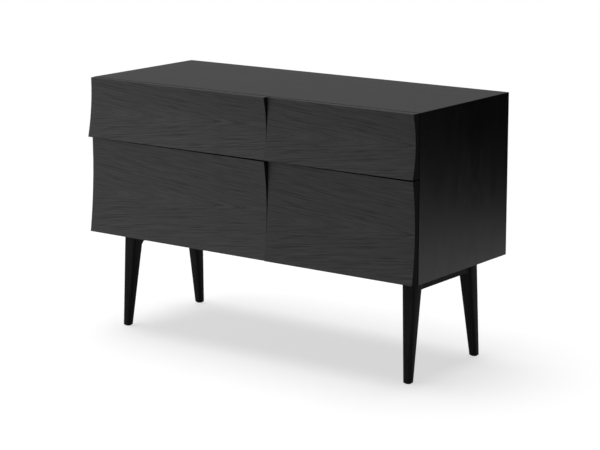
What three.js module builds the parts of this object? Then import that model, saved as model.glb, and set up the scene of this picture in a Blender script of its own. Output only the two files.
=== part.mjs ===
// A low dresser with four drawers on two leg trestles, in millimetres, +Z up.
// The origin is under the centre of the whole piece, on the floor. The drawers open towards -Y.
// The drawer fronts are thick boards with a hollowed, slightly twisted face. They cover the cabinet's
// front edges, and where one front stands further out than its neighbour, fingers reach behind it.
import * as THREE from 'three';

// Cabinet
const cabinetWidth = 1080;
const cabinetDepth = 419;
const cabinetHeight = 435;
const floorClearance = 277;
const boardThickness = 19;
const dividerThickness = 18;
const dividerX = 76;
const backThickness = 8;
const backInset = 4;

// Clearance between pieces that are fastened together, and between the two halves of a runner
const seatGap = 0.3;
const runningGap = 0.5;

// Drawer fronts. A reach is how far the face stands ahead of the cabinet's front edges.
const frontGap = 0.8;
const frontEndInset = 1;
const frontTopInset = 0.4;
const frontBottomInset = 3;
const frontGapBetweenColumns = 2;
const frontGapBetweenRows = 4;
const upperFrontHeight = 164;
const lipReach = 31.5;
const recessedEnd = { top: 14, middle: 16.8, bottom: lipReach };
const flaredEnd = { top: 27.5, middle: 16.7, bottom: 28.5 };
const faceColumns = 12;
const faceRows = 12;

// Drawer boxes
const boxBoard = 12;
const boxBottomThickness = 5;
const grooveDepth = 6;
const grooveRise = 10;
const boxRearClearance = 25;
const boxHeightBelowFrontTop = 29;
const boxRiseAboveFrontBottom = 22;

// Runners, one pair each side of each drawer
const runnerSpace = 12.5;
const runnerHeight = 36;
const runnerGauge = 1.4;
const runnerTipGap = 1;
const runnerSetback = 14;
const runnerRearClearance = 43;
const runnerRise = 50;

// Leg trestles
const legTopWidth = 41;
const legFootWidth = 22.8;
const legTopCorner = 7;
const legFootCorner = 8;
const legFootRounding = 1.5;
const legInsetSide = 69;
const legInsetFront = 77;
const legInsetBack = 83;
const legLeanSide = 7.5;
const legLeanFront = 27.5;
const legLeanBack = 30.5;
const railHeight = 37;
const railWidth = 32;
const railFillet = 7;
const railFilletSteps = 6;
const glideRadius = 8.5;
const glideHeight = 1.8;

// Levels and planes that follow from the sizes above
const cabinetTop = floorClearance + cabinetHeight;
const frontPlane = (lipReach - cabinetDepth) / 2;
const backPlane = frontPlane + cabinetDepth;
const insideLeft = -cabinetWidth / 2 + boardThickness;
const insideRight = cabinetWidth / 2 - boardThickness;
const insideBottom = floorClearance + boardThickness;
const insideTop = cabinetTop - boardThickness;
const backPanelFront = backPlane - backInset - backThickness;
const runnerStart = frontPlane + runnerSetback;
const runnerLength = backPanelFront - runnerRearClearance - runnerStart;

// Finishes
function finish(color, roughness, metalness = 0) {
  return () => new THREE.MeshStandardMaterial({ color, roughness, metalness });
}
const smoothVeneer = finish(0x303030, 0.5);
const sideVeneer = finish(0x262626, 0.55);
const frontVeneer = finish(0x383838, 0.6);
const solidOak = finish(0x181818, 0.45);
const boxWood = finish(0x2a2927, 0.6);
const runnerSteel = finish(0x6f7276, 0.35, 0.9);
const glidePlastic = finish(0x101010, 0.6);

function piece(name, geometry, material, x, y, z) {
  const mesh = new THREE.Mesh(geometry, material());
  mesh.name = name;
  mesh.position.set(x, y, z);
  return mesh;
}

// A board given by its lowest and highest corners
function board(name, material, low, high) {
  const size = high.map((value, axis) => value - low[axis]);
  const centre = high.map((value, axis) => (value + low[axis]) / 2);
  return piece(name, new THREE.BoxGeometry(...size), material, ...centre);
}

function outline(points) {
  return new THREE.Shape(points.map(([x, y]) => new THREE.Vector2(x, y)));
}

// An outline in X and Z, run along +Y from y = 0
function runAlongY(points, length) {
  const geometry = new THREE.ExtrudeGeometry(outline(points), { depth: length, bevelEnabled: false });
  return geometry.rotateX(Math.PI / 2).translate(0, length, 0);
}

// An outline in Y and Z, run along +X and centred on x = 0
function runAlongX(points, length) {
  const geometry = new THREE.ExtrudeGeometry(outline(points), { depth: length, bevelEnabled: false });
  const turn = new THREE.Matrix4().makeBasis(
    new THREE.Vector3(0, 1, 0),
    new THREE.Vector3(0, 0, 1),
    new THREE.Vector3(1, 0, 0),
  );
  return geometry.applyMatrix4(turn).translate(-length / 2, 0, 0);
}

function meshFrom(points, triangles) {
  const geometry = new THREE.BufferGeometry();
  geometry.setAttribute('position', new THREE.Float32BufferAttribute(points.flat(), 3));
  geometry.setIndex(triangles.flat());
  geometry.computeVertexNormals();
  return geometry;
}

// A cabinet board with its outer face up at z = 0 and both ends cut at 45 degrees
function mitredBoard(length) {
  const half = length / 2;
  const points = [
    [half, 0],
    [-half, 0],
    [boardThickness - half, -boardThickness],
    [half - boardThickness, -boardThickness],
  ];
  return runAlongY(points, cabinetDepth);
}

function makeCabinet() {
  const group = new THREE.Group();
  const middle = (floorClearance + cabinetTop) / 2;
  const half = cabinetWidth / 2;
  const level = mitredBoard(cabinetWidth);
  const upright = mitredBoard(cabinetHeight - 2 * seatGap);

  const top = piece('top_panel', level, smoothVeneer, 0, frontPlane, cabinetTop);
  const bottom = piece('bottom_panel', level, sideVeneer, 0, frontPlane, floorClearance);
  bottom.rotation.y = Math.PI;
  const left = piece('side_panel_left', upright, sideVeneer, -half, frontPlane, middle);
  left.rotation.y = -Math.PI / 2;
  const right = piece('side_panel_right', upright, sideVeneer, half, frontPlane, middle);
  right.rotation.y = Math.PI / 2;

  const back = board('back_panel', sideVeneer,
    [insideLeft + seatGap, backPanelFront, insideBottom + seatGap],
    [insideRight - seatGap, backPanelFront + backThickness, insideTop - seatGap]);
  const divider = board('centre_divider', sideVeneer,
    [dividerX - dividerThickness / 2, frontPlane, insideBottom + seatGap],
    [dividerX + dividerThickness / 2, backPanelFront - seatGap, insideTop - seatGap]);

  group.add(top, bottom, left, right, back, divider);
  return group;
}

// A parabola through three heights of the front: its foot (0), its middle (0.5) and its head (1)
function hollow(end, height) {
  const bend = 2 * (end.bottom + end.top - 2 * end.middle);
  return end.bottom + (end.top - end.bottom - bend) * height + bend * height * height;
}

// The front's lower left corner is at the origin, on its flat back. The face is hollow between head
// and foot, and its shape runs evenly from one end's to the other's.
function frontGeometry(width, height, leftEnd, rightEnd) {
  const points = [];
  const triangles = [];
  for (let row = 0; row <= faceRows; row += 1) {
    for (let column = 0; column <= faceColumns; column += 1) {
      const across = column / faceColumns;
      const up = row / faceRows;
      const reach = THREE.MathUtils.lerp(hollow(leftEnd, up), hollow(rightEnd, up), across);
      points.push([across * width, frontGap - reach, up * height]);
    }
  }
  const index = (row, column) => row * (faceColumns + 1) + column;
  for (let row = 0; row < faceRows; row += 1) {
    for (let column = 0; column < faceColumns; column += 1) {
      const a = index(row, column);
      const b = index(row, column + 1);
      const c = index(row + 1, column + 1);
      const d = index(row + 1, column);
      triangles.push([a, b, c], [a, c, d]);
    }
  }

  const backCorner = points.length;
  points.push([0, 0, 0], [width, 0, 0], [width, 0, height], [0, 0, height]);
  const [footLeft, footRight, headRight, headLeft] = [0, 1, 2, 3].map((corner) => backCorner + corner);
  triangles.push([footLeft, headLeft, headRight], [footLeft, headRight, footRight]);

  // An edge of the board is the flat polygon between an edge of the face and an edge of the back
  function closeEdge(border, first, second) {
    const ring = [...border, second, first];
    const flat = ring.map((corner) => points[corner]);
    const [u, v] = flat[0][2] === flat[border.length - 1][2] ? [0, 1] : [1, 2];
    const contour = flat.map((point) => new THREE.Vector2(point[u], point[v]));
    const clockwise = THREE.ShapeUtils.isClockWise(contour);
    if (clockwise) {
      contour.reverse();
    }
    const order = clockwise ? [...ring].reverse() : ring;
    for (const [a, b, c] of THREE.ShapeUtils.triangulateShape(contour, [])) {
      triangles.push(clockwise ? [order[c], order[b], order[a]] : [order[a], order[b], order[c]]);
    }
  }
  const columns = [...Array(faceColumns + 1).keys()];
  const rows = [...Array(faceRows + 1).keys()];
  closeEdge(columns.map((column) => index(0, column)).reverse(), footRight, footLeft);
  closeEdge(columns.map((column) => index(faceRows, column)), headLeft, headRight);
  closeEdge(rows.map((row) => index(row, 0)), footLeft, headLeft);
  closeEdge(rows.map((row) => index(row, faceColumns)).reverse(), headRight, footRight);
  return meshFrom(points, triangles);
}

// A steel channel, its web on x = 0 and its flanges reaching +X, centred on y = 0 and z = 0
function channelGeometry(height, reach, length) {
  const half = height / 2;
  const points = [
    [0, -half],
    [reach, -half],
    [reach, runnerGauge - half],
    [runnerGauge, runnerGauge - half],
    [runnerGauge, half - runnerGauge],
    [reach, half - runnerGauge],
    [reach, half],
    [0, half],
  ];
  return runAlongY(points, length).translate(0, -length / 2, 0);
}

// One half of a runner on an upright face: open towards +X when facing is 1, towards -X when -1
function runner(name, height, faceX, facing, y, z) {
  const reach = runnerSpace - 2 * seatGap - runnerGauge - runnerTipGap;
  const geometry = channelGeometry(height, reach, runnerLength);
  const channel = piece(name, geometry, runnerSteel, faceX + facing * seatGap, y, z);
  channel.rotation.z = facing > 0 ? 0 : Math.PI;
  return channel;
}

// The box of a drawer: inner front, two sides, back, and a bottom that slides into grooves
function makeBox(name, left, right, bottom, top) {
  const group = new THREE.Group();
  const innerFrontFace = frontPlane - frontGap + seatGap;
  const sideStart = innerFrontFace + boxBoard + seatGap;
  const boxBack = backPanelFront - boxRearClearance;
  const height = top - bottom;
  const grooveTop = grooveRise + boxBottomThickness + 2 * seatGap;

  // Inner face at x = 0, board towards -X, groove open towards +X
  const grooved = [
    [-boxBoard, 0],
    [0, 0],
    [0, grooveRise],
    [-grooveDepth, grooveRise],
    [-grooveDepth, grooveTop],
    [0, grooveTop],
    [0, height],
    [-boxBoard, height],
  ];
  const innerFront = piece(`${name}_drawer_inner_front`, runAlongX(grooved, right - left), boxWood,
    (left + right) / 2, innerFrontFace + boxBoard, bottom);

  const sideLength = boxBack - sideStart;
  const leftGeometry = runAlongY(grooved, sideLength);
  const leftSide = piece(`${name}_drawer_side_left`, leftGeometry, boxWood,
    left + boxBoard, sideStart, bottom);
  const rightSide = piece(`${name}_drawer_side_right`, leftGeometry, boxWood,
    right - boxBoard, boxBack, bottom);
  rightSide.rotation.z = Math.PI;

  const floorBottom = bottom + grooveRise + seatGap;
  const floorReach = grooveDepth - seatGap;
  const floor = board(`${name}_drawer_bottom`, boxWood,
    [left + boxBoard - floorReach, innerFrontFace + boxBoard - floorReach, floorBottom],
    [right - boxBoard + floorReach, boxBack, floorBottom + boxBottomThickness]);
  const back = board(`${name}_drawer_back`, boxWood,
    [left + boxBoard + seatGap, boxBack - boxBoard, floorBottom + boxBottomThickness + seatGap],
    [right - boxBoard - seatGap, boxBack, top]);

  group.add(innerFront, leftSide, rightSide, floor, back);
  return group;
}

function makeDrawer(column, row) {
  const group = new THREE.Group();
  const name = `${row.name}_${column.name}`;
  const width = column.frontRight - column.frontLeft;
  const height = row.frontTop - row.frontBottom;
  const face = frontGeometry(width, height, recessedEnd, flaredEnd);
  const front = piece(`${name}_drawer_front`, face, frontVeneer,
    column.frontLeft, frontPlane - frontGap, row.frontBottom);

  const boxLeft = column.insideLeft + runnerSpace;
  const boxRight = column.insideRight - runnerSpace;
  const boxBottom = row.frontBottom + boxRiseAboveFrontBottom;
  const box = makeBox(name, boxLeft, boxRight, boxBottom, row.frontTop - boxHeightBelowFrontTop);

  const slidingHeight = runnerHeight - 2 * runnerGauge - 2 * runningGap;
  const runnerY = runnerStart + runnerLength / 2;
  const runnerZ = boxBottom + runnerRise;
  group.add(
    front,
    box,
    runner(`${name}_cabinet_runner_left`, runnerHeight, column.insideLeft, 1, runnerY, runnerZ),
    runner(`${name}_cabinet_runner_right`, runnerHeight, column.insideRight, -1, runnerY, runnerZ),
    runner(`${name}_drawer_runner_left`, slidingHeight, boxLeft, -1, runnerY, runnerZ),
    runner(`${name}_drawer_runner_right`, slidingHeight, boxRight, 1, runnerY, runnerZ),
  );
  return group;
}

function makeDrawers() {
  const group = new THREE.Group();
  const frontTop = cabinetTop - frontTopInset;
  const upperBottom = frontTop - upperFrontHeight;
  const columns = [
    {
      name: 'left',
      insideLeft,
      insideRight: dividerX - dividerThickness / 2,
      frontLeft: -cabinetWidth / 2 + frontEndInset,
      frontRight: dividerX - frontGapBetweenColumns / 2,
    },
    {
      name: 'right',
      insideLeft: dividerX + dividerThickness / 2,
      insideRight,
      frontLeft: dividerX + frontGapBetweenColumns / 2,
      frontRight: cabinetWidth / 2 - frontEndInset,
    },
  ];
  const rows = [
    { name: 'upper', frontBottom: upperBottom, frontTop },
    {
      name: 'lower',
      frontBottom: floorClearance + frontBottomInset,
      frontTop: upperBottom - frontGapBetweenRows,
    },
  ];
  for (const column of columns) {
    for (const row of rows) {
      group.add(makeDrawer(column, row));
    }
  }
  return group;
}

// A level ring of points round a square with rounded corners, anticlockwise from above
function squareRing(width, corner, x, y, z) {
  const stepsPerCorner = 4;
  const ring = [];
  const offset = width / 2 - corner;
  const quarters = [[1, 1], [-1, 1], [-1, -1], [1, -1]];
  quarters.forEach(([sideX, sideY], quarter) => {
    for (let step = 0; step <= stepsPerCorner; step += 1) {
      const angle = ((quarter + step / stepsPerCorner) * Math.PI) / 2;
      const pointX = x + sideX * offset + corner * Math.cos(angle);
      const pointY = y + sideY * offset + corner * Math.sin(angle);
      ring.push([pointX, pointY, z]);
    }
  });
  return ring;
}

// A closed solid through level rings, from the lowest to the highest
function loft(rings) {
  const count = rings[0].length;
  const points = rings.flat();
  const triangles = [];
  for (let ring = 0; ring + 1 < rings.length; ring += 1) {
    for (let step = 0; step < count; step += 1) {
      const a = ring * count + step;
      const b = ring * count + ((step + 1) % count);
      triangles.push([a, b, b + count], [a, b + count, a + count]);
    }
  }
  const last = (rings.length - 1) * count;
  for (let step = 1; step + 1 < count; step += 1) {
    triangles.push([0, step + 1, step], [last, last + step, last + step + 1]);
  }
  return meshFrom(points, triangles);
}

const legBottom = glideHeight + seatGap;
const legHeight = floorClearance - seatGap - legBottom;

// How far up the leg a level is, as a share of the leg's height
function legShare(level) {
  return (level - legBottom) / legHeight;
}

function legWidthAt(level) {
  return THREE.MathUtils.lerp(legFootWidth, legTopWidth, legShare(level));
}

// The leg's foot is centred on the origin, and its head leans by the given amounts
function legGeometry(leanX, leanY) {
  const levels = [0, legFootRounding, legHeight];
  const rings = levels.map((rise) => {
    const share = rise / legHeight;
    const rounding = rise === 0 ? legFootRounding : 0;
    const width = legWidthAt(rise + legBottom) - rounding;
    const corner = THREE.MathUtils.lerp(legFootCorner, legTopCorner, share);
    return squareRing(width, corner - rounding / 4, leanX * share, leanY * share, rise);
  });
  return loft(rings);
}

function makeTrestle(sideName, side) {
  const group = new THREE.Group();
  const topX = side * (cabinetWidth / 2 - legInsetSide);
  const footX = topX + side * legLeanSide;
  const frontTop = frontPlane + legInsetFront;
  const backTop = backPlane - legInsetBack;
  const legs = [
    { name: 'front', topY: frontTop, footY: frontTop - legLeanFront },
    { name: 'back', topY: backTop, footY: backTop + legLeanBack },
  ];
  for (const leg of legs) {
    const geometry = legGeometry(topX - footX, leg.topY - leg.footY);
    const disc = new THREE.CylinderGeometry(glideRadius, glideRadius, glideHeight, 24);
    disc.rotateX(Math.PI / 2);
    group.add(
      piece(`leg_${leg.name}_${sideName}`, geometry, solidOak, footX, leg.footY, legBottom),
      piece(`foot_glide_${leg.name}_${sideName}`, disc, glidePlastic,
        footX, leg.footY, glideHeight / 2),
    );
  }

  // The rail's ends are cut to the slope of the legs that it runs between, and its underside
  // sweeps down along them
  const [front, back] = legs;
  const railTop = floorClearance - seatGap;
  const railBottom = railTop - railHeight;
  const endAt = (leg, inward, level) => {
    const axis = THREE.MathUtils.lerp(leg.footY, leg.topY, legShare(level));
    return new THREE.Vector2(axis + inward * (legWidthAt(level) / 2 + seatGap), level);
  };
  const sweep = (leg, inward) => {
    const corner = endAt(leg, inward, railBottom);
    const foot = endAt(leg, inward, railBottom - railFillet);
    const start = new THREE.Vector2(corner.x + inward * railFillet, railBottom);
    return new THREE.QuadraticBezierCurve(start, corner, foot).getPoints(railFilletSteps);
  };
  const points = [
    ...sweep(front, 1).reverse(),
    ...sweep(back, -1),
    endAt(back, -1, railTop),
    endAt(front, 1, railTop),
  ].map((point) => point.toArray());
  group.add(piece(`trestle_rail_${sideName}`, runAlongX(points, railWidth), solidOak, topX, 0, 0));
  return group;
}

const dresser = new THREE.Group();
dresser.add(makeCabinet(), makeDrawers(), makeTrestle('left', -1), makeTrestle('right', 1));

export default dresser;
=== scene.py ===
"""The looks of a low black-stained oak dresser with four drawers on two leg trestles.

Everything is in metres, in the frame's own axes: X along the width, Y from the drawer fronts to
the back, Z up from the floor. Pieces that have the right shape keep their frame mesh and get eased
edges and a finish. The drawer fronts and the legs are made again here with smooth surfaces, and
the screws of the back panel are made only here.
"""
import math

import bpy
from mathutils import Matrix, Vector


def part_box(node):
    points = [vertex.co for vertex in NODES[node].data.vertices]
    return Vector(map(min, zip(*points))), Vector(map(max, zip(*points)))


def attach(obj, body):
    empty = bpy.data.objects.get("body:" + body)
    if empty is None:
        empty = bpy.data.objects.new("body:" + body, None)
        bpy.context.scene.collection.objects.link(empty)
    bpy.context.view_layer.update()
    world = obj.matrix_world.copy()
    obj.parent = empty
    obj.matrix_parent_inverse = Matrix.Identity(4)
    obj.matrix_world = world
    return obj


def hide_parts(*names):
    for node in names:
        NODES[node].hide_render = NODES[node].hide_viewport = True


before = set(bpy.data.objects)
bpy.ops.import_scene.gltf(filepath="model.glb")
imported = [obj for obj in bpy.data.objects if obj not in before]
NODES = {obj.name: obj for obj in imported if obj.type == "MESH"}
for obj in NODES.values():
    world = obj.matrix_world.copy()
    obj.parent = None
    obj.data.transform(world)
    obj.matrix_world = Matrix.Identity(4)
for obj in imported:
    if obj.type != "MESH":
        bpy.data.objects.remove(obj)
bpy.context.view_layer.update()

MM = 0.001

# ---------------------------------------------------------------- sizes, as in the part's design

# A reach is how far a front's face stands ahead of the cabinet's front edges
FRONT_GAP = 0.8 * MM
LIP_REACH = 31.5 * MM
RECESSED_END = {"top": 14 * MM, "middle": 16.8 * MM, "bottom": LIP_REACH}
FLARED_END = {"top": 27.5 * MM, "middle": 16.7 * MM, "bottom": 28.5 * MM}
DRAWERS = ("upper_left", "upper_right", "lower_left", "lower_right")

LEG_TOP_CORNER = 7 * MM
LEG_FOOT_CORNER = 8 * MM
LEG_TOP_WIDTH = 41 * MM
LEG_FOOT_WIDTH = 22.8 * MM
LEG_FOOT_ROUNDING = 1.5 * MM

# ---------------------------------------------------------------- sizes that only the looks have

BOARD_EASE = 0.5 * MM
FRONT_EASE = 0.6 * MM
RAIL_EASE = 3 * MM
RUNNER_EASE = 0.2 * MM
CRISP_ANGLE = math.radians(30)

SCREWS_IN_A_ROW = 6
SCREW_INSET = 14 * MM
# Radius and height of a screw head, in millimetres: its dome from the rim in, then its socket
SCREW_PROFILE = ((4, 0), (3.9, 0.35), (3.3, 0.75), (2.2, 0.98), (1.7, 1.0), (1.6, 0.9), (1.6, 0.15))


# ---------------------------------------------------------------- shader helpers

BLACK = (0, 0, 0, 1)
WHITE = (1, 1, 1, 1)

# A Mix node's sockets share their names, so they go by number
NUMBER_A, NUMBER_B = 2, 3
COLOUR_A, COLOUR_B = 6, 7
COLOUR_RESULT = 2


def srgb(code):
    """A linear RGBA colour from an sRGB hex code."""
    channels = []
    for start in (0, 2, 4):
        value = int(code[start:start + 2], 16) / 255
        linear = value / 12.92 if value <= 0.04045 else ((value + 0.055) / 1.055) ** 2.4
        channels.append(linear)
    return (*channels, 1)


def add(tree, kind, inputs=(), output=0, stops=(), **settings):
    """Adds a node with its settings. Its inputs are values or other nodes' outputs, and stops are
    the (place, colour) pairs of a colour ramp."""
    made = tree.nodes.new(kind)
    for name, value in settings.items():
        setattr(made, name, value)
    for key, value in dict(inputs).items():
        if isinstance(value, bpy.types.NodeSocket):
            tree.links.new(value, made.inputs[key])
        else:
            made.inputs[key].default_value = value
    if stops:
        elements = made.color_ramp.elements
        while len(elements) < len(stops):
            elements.new(0.5)
        for element, (place, colour) in zip(elements, stops):
            element.position = place
            element.color = colour
    return made.outputs[output] if made.outputs else made


def new_material(name):
    """An empty material and its node tree."""
    material = bpy.data.materials.new(name)
    material.use_nodes = True
    material.node_tree.nodes.clear()
    return material, material.node_tree


# ---------------------------------------------------------------- grain and finishes

# Waves to the metre along, across and through a board, and how far each sort bends the rings
SLOW_WAVES = (4, 13, 3)
SLOW_SWING = 6 * MM
SHORT_WAVES = (7, 60, 8)
SHORT_SWING = 1.5 * MM

# A ring keeps its width and colour for about this length of the trunk
RING_CHANGE = 200 * MM

# Open pores are dashes along the grain. Real ones are 0.2 mm wide: these are drawn wider, so that
# they show.
PORE_WIDTH = 1.5 * MM
PORE_LENGTH = 70 * MM

# The pores' share in the figure, and how much rougher than the wood they are
PORE_SHARE = 0.4
PORE_ROUGHER = 0.15


def oak_grain(tree, along, start, ring_pitch, pith_depth, taper, tilt):
    """Flat-cut oak: (figure, pore), each from 0, dark, to 1, light, for boards in metres.

    Growth rings are cones round the pith, so a board cut beside it shows them as long arches that
    point along the grain. along is the grain's axis, and start a point on the arches' centre line.
    The board was cut pith_depth beside the pith, the cones widen by taper for each metre along it,
    and the centre line leaves the grain's axis by tilt for each metre.
    """
    place = add(tree, "ShaderNodeTexCoord", output="Object")
    local = add(tree, "ShaderNodeVectorMath", {0: place, 1: start}, operation="SUBTRACT")
    split = add(tree, "ShaderNodeSeparateXYZ", {"Vector": local}).node.outputs
    diagonal = add(tree, "ShaderNodeMath", {0: split["X"], 1: split["Y"]}, operation="ADD")
    length, across, depth = {
        "X": (split["X"], split["Z"], split["Y"]),
        "Z": (split["Z"], split["Y"], split["X"]),
        "post": (split["Z"], diagonal, split["X"]),
        "level X": (split["X"], split["Y"], split["Z"]),
    }[along]

    # The tree didn't grow straight: slow waves bend the arches, and short ones roughen them
    board = add(tree, "ShaderNodeCombineXYZ", {"X": length, "Y": across, "Z": depth})
    slow = add(tree, "ShaderNodeVectorMath", {0: board, 1: SLOW_WAVES}, operation="MULTIPLY")
    slow = add(tree, "ShaderNodeTexNoise", {"Vector": slow, "Scale": 1, "Detail": 1})
    slow = add(tree, "ShaderNodeMapRange", {"Value": slow, "To Min": -SLOW_SWING,
                                            "To Max": SLOW_SWING})
    short = add(tree, "ShaderNodeVectorMath", {0: board, 1: SHORT_WAVES}, operation="MULTIPLY")
    short = add(tree, "ShaderNodeTexNoise", {"Vector": short, "Scale": 1, "Detail": 2})
    short = add(tree, "ShaderNodeMapRange", {"Value": short, "To Min": -SHORT_SWING,
                                             "To Max": SHORT_SWING})

    off_axis = add(tree, "ShaderNodeMath", {0: length, 1: tilt, 2: across},
                   operation="MULTIPLY_ADD")
    off_axis = add(tree, "ShaderNodeMath", {0: off_axis, 1: slow}, operation="ADD")
    square = add(tree, "ShaderNodeMath", {0: off_axis, 1: off_axis, 2: pith_depth ** 2},
                 operation="MULTIPLY_ADD")
    radius = add(tree, "ShaderNodeMath", {0: square}, operation="SQRT")
    radius = add(tree, "ShaderNodeMath", {0: length, 1: taper, 2: radius},
                 operation="MULTIPLY_ADD")
    radius = add(tree, "ShaderNodeMath", {0: radius, 1: short}, operation="ADD")

    # Ring after ring differs in width and depth of colour, so a noise is read along the radius
    turns = add(tree, "ShaderNodeMath", {0: radius, 1: 1 / ring_pitch}, operation="MULTIPLY")
    change = add(tree, "ShaderNodeMath", {0: length, 1: 1 / RING_CHANGE}, operation="MULTIPLY")
    ring_place = add(tree, "ShaderNodeCombineXYZ", {"X": turns, "Y": change})
    rings = add(tree, "ShaderNodeTexNoise", {"Vector": ring_place, "Scale": 1, "Detail": 3,
                                             "Roughness": 0.65})
    figure = add(tree, "ShaderNodeValToRGB", {"Fac": rings},
                 stops=[(0.36, BLACK), (0.5, (0.65, 0.65, 0.65, 1)), (0.66, WHITE)])

    dash = add(tree, "ShaderNodeMath", {0: radius, 1: 1 / PORE_WIDTH}, operation="MULTIPLY")
    run = add(tree, "ShaderNodeMath", {0: length, 1: 1 / PORE_LENGTH}, operation="MULTIPLY")
    dash_place = add(tree, "ShaderNodeCombineXYZ", {"X": dash, "Y": run})
    pore = add(tree, "ShaderNodeTexNoise", {"Vector": dash_place, "Scale": 1, "Detail": 1})
    pore = add(tree, "ShaderNodeValToRGB", {"Fac": pore}, stops=[(0.36, BLACK), (0.56, WHITE)])
    return figure, pore


def stained_oak(name, along, start, light, dark, contrast=1.0, roughness=0.5, specular=0.36,
                relief=0.07 * MM, ring_pitch=4.2 * MM, pith_depth=2.5 * MM, taper=0.1, tilt=-0.035):
    """Black-stained, matt lacquered oak veneer. The stain sits darkest in the open pores and the
    late wood, so the figure shows as dark lines on soft black, with a dull sheen between them.

    light and dark are the colours of the wood and of its pores, and contrast is the share of the
    way between them that the figure goes. The pores lie lower by relief, and are rougher.
    """
    material, tree = new_material(name)
    figure, pore = oak_grain(tree, along, start, ring_pitch, pith_depth, taper, tilt)
    shade = add(tree, "ShaderNodeMix", {"Factor": PORE_SHARE, NUMBER_A: figure, NUMBER_B: pore})
    shade = add(tree, "ShaderNodeMapRange", {"Value": shade, "To Min": 1 - contrast, "To Max": 1})
    colour = add(tree, "ShaderNodeMix", {"Factor": shade, COLOUR_A: srgb(dark),
                                         COLOUR_B: srgb(light)},
                 output=COLOUR_RESULT, data_type="RGBA")
    height = add(tree, "ShaderNodeMath", {0: shade, 1: relief}, operation="MULTIPLY")
    bump = add(tree, "ShaderNodeBump", {"Height": height, "Strength": 0.7, "Distance": 1})
    sheen = add(tree, "ShaderNodeMapRange", {"Value": shade, "To Min": roughness + PORE_ROUGHER,
                                             "To Max": roughness})
    shader = add(tree, "ShaderNodeBsdfPrincipled", {
        "Base Color": colour, "Roughness": sheen, "IOR": 1.45, "Specular IOR Level": specular,
        "Normal": bump})
    add(tree, "ShaderNodeOutputMaterial", {"Surface": shader})
    return material


def cut_oak():
    """The boards' cut edges and ends: near black, partly because the stain soaks in there and partly
    as painted shade for the drawer fronts' ends, which face away from the light. Almost no sheen,
    and a speckle of open pores. Real pores are 0.2 mm wide: here one is 0.9 mm, so that it shows."""
    material, tree = new_material("end_grain_oak")
    place = add(tree, "ShaderNodeTexCoord", output="Object")
    pores = add(tree, "ShaderNodeTexNoise", {"Vector": place, "Scale": 1.1 / MM, "Detail": 2})
    # Painted shade: the whole ramp is kept darker than the stain alone, for the fronts' ends turned
    # away from the light
    shade = add(tree, "ShaderNodeValToRGB", {"Fac": pores},
                stops=[(0.3, srgb("040404")), (0.7, srgb("151515"))])
    bump = add(tree, "ShaderNodeBump", {"Height": pores, "Strength": 0.3, "Distance": 0.1 * MM})
    shader = add(tree, "ShaderNodeBsdfPrincipled", {
        "Base Color": shade, "Roughness": 0.8, "IOR": 1.2, "Normal": bump})
    add(tree, "ShaderNodeOutputMaterial", {"Surface": shader})
    return material


def top_oak():
    """The top is sanded fine and lacquered dead matt. It mirrors next to nothing, so it is an even
    charcoal, and its figure hardly shows."""
    return stained_oak("oak_top", "level X", (0.1, 0.3, 0), light="282828", dark="202020",
                       contrast=0.35, roughness=0.55, specular=0.055, relief=0.02 * MM,
                       pith_depth=150 * MM)


def side_oak():
    """The sides' grain stands upright and nearly straight. Their colours are darker than the top's
    and the fronts': black stain with painted shade for the side that faces away from the light.
    Their lacquer is the smoothest, so what the eye gets is mostly the floor's sheen, strongest low
    down."""
    # Painted shade: these colours are kept darker than the other oak boards', for the side turned
    # away from the light
    return stained_oak("oak_side", "Z", (0, 0.05, 0.2), light="0F0F0F", dark="070707",
                       contrast=0.8, roughness=0.3, specular=0.31, relief=0.05 * MM,
                       pith_depth=200 * MM, taper=0.02)


def back_oak():
    """The bottom and back boards are plainer veneer in a greyer black, with long open arches."""
    return stained_oak("oak_case", "X", (0, 0, 0.3), light="242424", dark="161616", contrast=0.7)


def front_oak(drawer, start):
    """The fronts' showiest veneer, with close arches lying along each front. Each column has its own
    colours: the right column's are darker than the left's, with a stronger figure."""
    light, dark, contrast = {
        "left": ("3C3C3C", "0C0C0C", 0.85),
        "right": ("343434", "020202", 1.0),
    }[drawer.split("_")[1]]
    return stained_oak(f"oak_front_{drawer}", "X", start, light, dark, contrast,
                       specular=0.28, ring_pitch=3.6 * MM)


def leg_oak():
    """Legs and rails share one planed solid oak, with a close upright figure. It is nearly matt, so
    they are black all round but for a faint light on their corners."""
    return stained_oak("oak_leg", "post", (0, 0, 0), light="262626", dark="070707",
                       roughness=0.4, specular=0.045, ring_pitch=5 * MM, pith_depth=80 * MM,
                       taper=0.02, tilt=0)


def box_birch():
    """The drawer boxes are birch plywood under the same stain. Birch is even and close, so it is a
    warm dark grey with a faint figure."""
    return stained_oak("stained_birch", "level X", (0, 0, 0), light="2A2826", dark="1E1C1A",
                       contrast=0.4)


def smooth_finish(name, colour, roughness, metallic=0.0):
    """A moulded or plated surface, whose gloss is a little uneven. Real patches are some 0.3 mm
    wide: here one is 1.7 mm, so that it shows. A metal keeps the default IOR."""
    unevenness = 0.06
    material, tree = new_material(name)
    place = add(tree, "ShaderNodeTexCoord", output="Object")
    patches = add(tree, "ShaderNodeTexNoise", {"Vector": place, "Scale": 0.6 / MM})
    gloss = add(tree, "ShaderNodeMapRange", {"Value": patches, "To Min": roughness - unevenness,
                                             "To Max": roughness + unevenness})
    settings = {"Base Color": srgb(colour), "Roughness": gloss, "Metallic": metallic}
    if not metallic:
        settings["IOR"] = 1.45
    shader = add(tree, "ShaderNodeBsdfPrincipled", settings)
    add(tree, "ShaderNodeOutputMaterial", {"Surface": shader})
    return material


def glide_nylon():
    """Black moulded nylon: dull, without a clear reflection."""
    return smooth_finish("moulded_nylon", "0C0C0C", 0.55)


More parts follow.
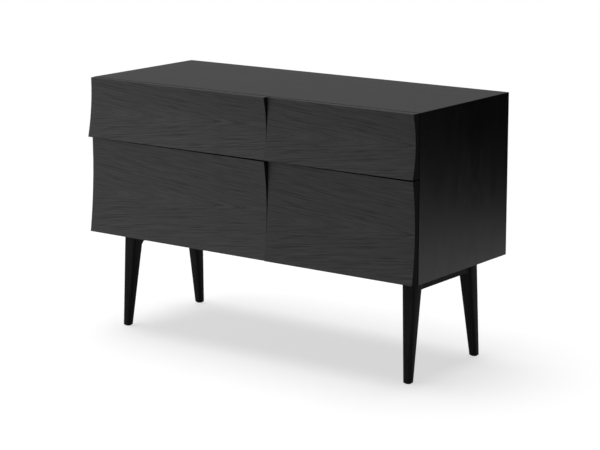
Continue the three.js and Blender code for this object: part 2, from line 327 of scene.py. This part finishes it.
def runner_zinc():
    """Rolled steel with bright zinc plating: cool grey metal with a soft gleam."""
    return smooth_finish("zinc_plated_steel", "A7ABB0", 0.35, metallic=1.0)


def screw_zinc():
    """Steel with black zinc plating: dark metal that still catches the light on its dome."""
    return smooth_finish("black_zinc_screw", "5A5C60", 0.4, metallic=1.0)


# ---------------------------------------------------------------- mesh helpers

def piece_from(name, points, faces, body, replaced, materials, face_materials=None):
    """Makes a mesh piece that rides on a body and stands for the replaced CAD nodes."""
    mesh = bpy.data.meshes.new(name)
    mesh.from_pydata([tuple(point) for point in points], [], faces)
    for material in materials:
        mesh.materials.append(material)
    if face_materials:
        mesh.polygons.foreach_set("material_index", face_materials)
    mesh.update()
    made = bpy.data.objects.new(name, mesh)
    bpy.context.scene.collection.objects.link(made)
    for face in mesh.polygons:
        face.use_smooth = True
    mesh.set_sharp_from_angle(angle=CRISP_ANGLE)
    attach(made, body)
    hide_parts(*replaced)
    return made


def ease_edges(piece, width):
    """Rounds the sharp edges, as sanding does."""
    ease = piece.modifiers.new("eased_edges", "BEVEL")
    ease.width = width
    ease.segments = 2
    ease.limit_method = "ANGLE"
    ease.angle_limit = math.radians(40)
    ease.harden_normals = True


def dress_nodes(names, material, ease=BOARD_EASE, front_edge=None):
    """Gives CAD nodes a finish, and their faces towards the drawer fronts another if it is given."""
    for name in names:
        node = NODES[name]
        node.data.materials.clear()
        node.data.materials.append(material)
        if front_edge:
            node.data.materials.append(front_edge)
            for face in node.data.polygons:
                looks_forwards = face.normal.y < -0.9
                face.material_index = 1 if looks_forwards else 0
        ease_edges(node, ease)


def nodes_starting(word):
    return [name for name in NODES if name.startswith(word)]


# ---------------------------------------------------------------- drawer fronts

def hollow(end, height):
    """A parabola through three reaches of a front: foot (0), middle (0.5) and head (1)."""
    bend = 2 * (end["bottom"] + end["top"] - 2 * end["middle"])
    return end["bottom"] + (end["top"] - end["bottom"] - bend) * height + bend * height * height


def make_front(drawer, face_material, end_material, edge_material):
    """A thick board with a hollowed face that twists evenly from its recessed to its flared end.
    The ends are its left and right sides, and the edges its head and foot."""
    columns, rows = 64, 40
    face_kind, end_kind, edge_kind = 0, 1, 2
    node = f"{drawer}_drawer_front"
    low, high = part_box(node)
    size = high - low
    back = high.y
    points = []
    for row in range(rows + 1):
        for column in range(columns + 1):
            across, up = column / columns, row / rows
            reach = (1 - across) * hollow(RECESSED_END, up) + across * hollow(FLARED_END, up)
            y = back + FRONT_GAP - reach
            points.append((low.x + across * size.x, y, low.z + up * size.z))

    def face_point(row, column):
        return row * (columns + 1) + column

    faces = []
    for row in range(rows):
        for column in range(columns):
            faces.append((face_point(row, column), face_point(row, column + 1),
                          face_point(row + 1, column + 1), face_point(row + 1, column)))
    kinds = [face_kind] * len(faces)

    # The flat back carries the same points along its border, so each edge is a strip of quads
    border = [(0, column) for column in range(columns)]
    border += [(row, columns) for row in range(rows)]
    border += [(rows, column) for column in range(columns, 0, -1)]
    border += [(row, 0) for row in range(rows, 0, -1)]
    first = len(points)
    for row, column in border:
        x, _, z = points[face_point(row, column)]
        points.append((x, back, z))
    for step, (row, column) in enumerate(border):
        after = (step + 1) % len(border)
        a, b = face_point(row, column), face_point(*border[after])
        faces.append((b, a, first + step, first + after))
        on_end = column == border[after][1]
        kinds.append(end_kind if on_end else edge_kind)
    faces.append(tuple(range(first + len(border) - 1, first - 1, -1)))
    kinds.append(face_kind)

    made = piece_from(f"{drawer}_hollowed_front", points, faces, f"{drawer}_drawer",
                      [node], [face_material, end_material, edge_material], kinds)
    ease_edges(made, FRONT_EASE)


def make_fronts(edge_material, end_material):
    arch_height = 0.43  # the arches' centre line, as a share of a front's height
    for drawer in DRAWERS:
        low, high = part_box(f"{drawer}_drawer_front")
        start = (low.x, 0, low.z + arch_height * (high.z - low.z))
        make_front(drawer, front_oak(drawer, start), end_material, edge_material)


# ---------------------------------------------------------------- fastenings of the back panel

def make_screws():
    """Low domed socket screws along the head and foot of the back panel, a millimetre proud."""
    material = screw_zinc()
    sides = 24
    low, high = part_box("back_panel")
    row_length = high.x - low.x - 2 * SCREW_INSET
    for across in range(SCREWS_IN_A_ROW):
        x = low.x + SCREW_INSET + row_length * across / (SCREWS_IN_A_ROW - 1)
        for row, z in (("low", low.z + SCREW_INSET), ("high", high.z - SCREW_INSET)):
            points, faces = [], []
            for radius, proud in SCREW_PROFILE:
                for step in range(sides):
                    angle = 2 * math.pi * step / sides
                    points.append((x + radius * MM * math.cos(angle), high.y + proud * MM,
                                   z + radius * MM * math.sin(angle)))
            for ring in range(len(SCREW_PROFILE) - 1):
                for step in range(sides):
                    a, b = ring * sides + step, ring * sides + (step + 1) % sides
                    faces.append((a, a + sides, b + sides, b))
            faces.append(tuple(range(sides)))
            last = (len(SCREW_PROFILE) - 1) * sides
            faces.append(tuple(range(last + sides - 1, last - 1, -1)))
            piece_from(f"back_screw_{row}_{across + 1}", points, faces, "cabinet",
                       [], [material])


# ---------------------------------------------------------------- legs

def square_ring(width, corner, x, y, z):
    """Level points round a square with rounded corners, anticlockwise from above."""
    steps = 6
    ring = []
    offset = width / 2 - corner
    for quarter, (side_x, side_y) in enumerate(((1, 1), (-1, 1), (-1, -1), (1, -1))):
        for step in range(steps + 1):
            angle = (quarter + step / steps) * math.pi / 2
            ring.append((x + side_x * offset + corner * math.cos(angle),
                         y + side_y * offset + corner * math.sin(angle), z))
    return ring


def make_leg(node, material):
    """A tapered leg that leans out of its trestle, squarish with rounded corners and foot."""
    low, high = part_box(node)
    side = 1 if node.endswith("right") else -1
    end = 1 if "back" in node else -1
    glide_low, glide_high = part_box(node.replace("leg_", "foot_glide_"))
    foot = (glide_low + glide_high) / 2
    top_half = LEG_TOP_WIDTH / 2
    top_x = (low.x if side > 0 else high.x) + side * top_half
    top_y = (high.y if end < 0 else low.y) + end * top_half
    levels, rounding_levels = 24, 4
    height = high.z - low.z
    rounding = LEG_FOOT_ROUNDING
    rings = []
    for level in range(-rounding_levels, levels + 1):
        if level < 0:
            angle = math.pi / 2 * (level + rounding_levels) / rounding_levels
            rise = rounding * (1 - math.cos(angle))
            inset = rounding * 0.5 * (1 - math.sin(angle))
        else:
            rise = rounding + (height - rounding) * level / levels
            inset = 0
        share = rise / height
        width = LEG_FOOT_WIDTH + (LEG_TOP_WIDTH - LEG_FOOT_WIDTH) * share - 2 * inset
        corner = LEG_FOOT_CORNER + (LEG_TOP_CORNER - LEG_FOOT_CORNER) * share - inset * 0.5
        rings.append(square_ring(width, corner, foot.x + (top_x - foot.x) * share,
                                 foot.y + (top_y - foot.y) * share, low.z + rise))
    count = len(rings[0])
    points = [point for ring in rings for point in ring]
    faces = []
    for ring in range(len(rings) - 1):
        for step in range(count):
            a = ring * count + step
            b = ring * count + (step + 1) % count
            faces.append((a, b, b + count, a + count))
    faces.append(tuple(range(count - 1, -1, -1)))
    last = (len(rings) - 1) * count
    faces.append(tuple(range(last, last + count)))
    piece_from(f"{node}_shaped", points, faces, "cabinet", [node], [material])


# ---------------------------------------------------------------- make the object

def dress_case(top, cut_edge):
    dress_nodes(["top_panel"], top, front_edge=cut_edge)
    dress_nodes(["side_panel_left", "side_panel_right", "centre_divider"], side_oak(),
                front_edge=cut_edge)
    dress_nodes(["bottom_panel", "back_panel"], back_oak(), front_edge=cut_edge)


def make_base():
    oak = leg_oak()
    for node in nodes_starting("leg_"):
        make_leg(node, oak)
    dress_nodes(nodes_starting("trestle_rail"), oak, RAIL_EASE)
    dress_nodes(nodes_starting("foot_glide"), glide_nylon())


def dress_drawer_boxes():
    box_words = ("inner_front", "side_left", "side_right", "drawer_back", "drawer_bottom")
    boards = [name for name in NODES if "_drawer_" in name and name.endswith(box_words)]
    dress_nodes(boards, box_birch())


def dress_runners():
    runners = [name for name in NODES if "runner" in name]
    dress_nodes(runners, runner_zinc(), RUNNER_EASE)


def make_object():
    top = top_oak()
    cut_edge = cut_oak()
    dress_case(top, cut_edge)
    make_fronts(edge_material=top, end_material=cut_edge)
    make_base()
    dress_drawer_boxes()
    dress_runners()
    make_screws()


# ---------------------------------------------------------------- camera

IMAGE_WIDTH = 600


def make_camera():
    """A long lens at the front right, looking down on the dresser a little."""
    azimuth, elevation, roll = math.radians(36.95), math.radians(12.472), math.radians(-0.2)
    forward = Vector((-math.sin(azimuth) * math.cos(elevation),
                      math.cos(azimuth) * math.cos(elevation), -math.sin(elevation)))
    right = Vector((math.cos(azimuth), math.sin(azimuth), 0))
    up = right.cross(forward)
    turned_right = math.cos(roll) * right + math.sin(roll) * up
    turned_up = math.cos(roll) * up - math.sin(roll) * right
    place = Matrix((turned_right, turned_up, -forward)).transposed().to_4x4()
    place.translation = (3.1804, -4.1928, 1.4892)
    camera = bpy.data.objects.new("camera", bpy.data.cameras.new("camera"))
    camera.data.lens = 118.72
    camera.data.shift_x = -0.42 / IMAGE_WIDTH
    camera.data.shift_y = 0.6 / IMAGE_WIDTH
    camera.matrix_world = place
    bpy.context.scene.collection.objects.link(camera)
    bpy.context.scene.camera = camera


# ---------------------------------------------------------------- stage and light

def seen_directly(tree):
    """1 for rays from the camera, a mirroring surface or glass, and 0 for the light itself."""
    ray = add(tree, "ShaderNodeLightPath").node.outputs
    seen = add(tree, "ShaderNodeMath", {0: ray["Is Camera Ray"], 1: ray["Is Glossy Ray"]},
               operation="MAXIMUM")
    return add(tree, "ShaderNodeMath", {0: seen, 1: ray["Is Transmission Ray"]},
               operation="MAXIMUM")


def make_floor():
    """A round matt white floor. Rays that see it directly find it lifted to the background's
    white, and the object's shadow stays on it."""
    radius, sides = 3.25, 128
    centre_x, centre_y, floor_level = -1.0, -1.2, -0.2 * MM
    lift = 0.62
    ring = []
    for step in range(sides):
        angle = 2 * math.pi * step / sides
        ring.append((centre_x + radius * math.cos(angle), centre_y + radius * math.sin(angle),
                     floor_level))
    mesh = bpy.data.meshes.new("floor")
    mesh.from_pydata(ring, [], [tuple(range(sides))])
    floor = bpy.data.objects.new("floor", mesh)
    bpy.context.scene.collection.objects.link(floor)
    material, tree = new_material("matt_white_floor")
    matt = add(tree, "ShaderNodeBsdfDiffuse", {"Color": srgb("B4B4B4")})
    white = add(tree, "ShaderNodeEmission", {"Color": WHITE, "Strength": lift})
    lifted = add(tree, "ShaderNodeAddShader", {0: matt, 1: white})
    shader = add(tree, "ShaderNodeMixShader", {"Fac": seen_directly(tree), 1: matt, 2: lifted})
    add(tree, "ShaderNodeOutputMaterial", {"Surface": shader})
    mesh.materials.append(material)


def make_room():
    """What lies beyond the floor. As light it is palest to the upper left, and black over the half
    away from there. Rays that see it directly find the white background."""
    pale_side = (-0.85, 0.1, 0.5)
    world = bpy.data.worlds.new("studio")
    world.use_nodes = True
    tree = world.node_tree
    tree.nodes.clear()
    direction = add(tree, "ShaderNodeTexCoord", output="Generated")
    towards = add(tree, "ShaderNodeVectorMath", {0: direction, 1: pale_side},
                  operation="DOT_PRODUCT", output="Value")
    towards = add(tree, "ShaderNodeMapRange", {"Value": towards, "From Min": -1, "From Max": 1})
    room = add(tree, "ShaderNodeValToRGB", {"Fac": towards},
               stops=[(0.5, BLACK), (1, srgb("C0C0C0"))])
    colour = add(tree, "ShaderNodeMix", {"Factor": seen_directly(tree), COLOUR_A: room,
                                         COLOUR_B: WHITE},
                 output=COLOUR_RESULT, data_type="RGBA")
    background = add(tree, "ShaderNodeBackground", {"Color": colour, "Strength": 1})
    add(tree, "ShaderNodeOutputWorld", {"Surface": background})
    bpy.context.scene.world = world


def hang_overhead_light(power, width_degrees, direction):
    """A sun as wide as a big diffuser, which gives the soft shadow."""
    lamp = bpy.data.lights.new("overhead_light", "SUN")
    lamp.energy = power
    lamp.angle = math.radians(width_degrees)
    made = bpy.data.objects.new("overhead_light", lamp)
    made.rotation_euler = Vector(direction).to_track_quat("-Z", "Y").to_euler()
    bpy.context.scene.collection.objects.link(made)


def set_soft_box(name, place, aim, width, height, power):
    """A large lamp behind a diffuser. The camera doesn't see it."""
    lamp = bpy.data.lights.new(name, "AREA")
    lamp.shape = "RECTANGLE"
    lamp.size = width
    lamp.size_y = height
    lamp.energy = power
    made = bpy.data.objects.new(name, lamp)
    made.location = place
    made.rotation_euler = (Vector(aim) - Vector(place)).to_track_quat("-Z", "Y").to_euler()
    made.visible_camera = False
    bpy.context.scene.collection.objects.link(made)


def set_black_flag(place, aim, width, height):
    """An upright black board on the floor, facing aim. Only mirroring surfaces see it."""
    material, tree = new_material("black_cloth")
    cloth = add(tree, "ShaderNodeBsdfDiffuse", {"Color": srgb("080808")})
    add(tree, "ShaderNodeOutputMaterial", {"Surface": cloth})
    mesh = bpy.data.meshes.new("black_flag")
    half = width / 2
    mesh.from_pydata([(-half, 0, 0), (half, 0, 0), (half, 0, height), (-half, 0, height)], [],
                     [(0, 1, 2, 3)])
    mesh.materials.append(material)
    flag = bpy.data.objects.new("black_flag", mesh)
    flag.location = place
    flag.rotation_euler = (0, 0, math.atan2(aim[1] - place[1], aim[0] - place[0]) + math.pi / 2)
    flag.visible_camera = False
    flag.visible_diffuse = False
    flag.visible_shadow = False
    bpy.context.scene.collection.objects.link(flag)


def make_stage():
    make_floor()
    make_room()
    hang_overhead_light(power=2.2, width_degrees=48, direction=(0.148, -0.012, -1))
    set_soft_box("left_soft_box", place=(-3.2, -4.1, 1.3), aim=(0, 0, 0.4), width=3.2, height=2.4,
                 power=50)
    set_black_flag(place=(1.55, 1.25, 0), aim=(0.54, 0, 0), width=3.2, height=3.2)


make_object()
make_camera()
make_stage()
bpy.context.scene.view_settings.view_transform = "Standard"
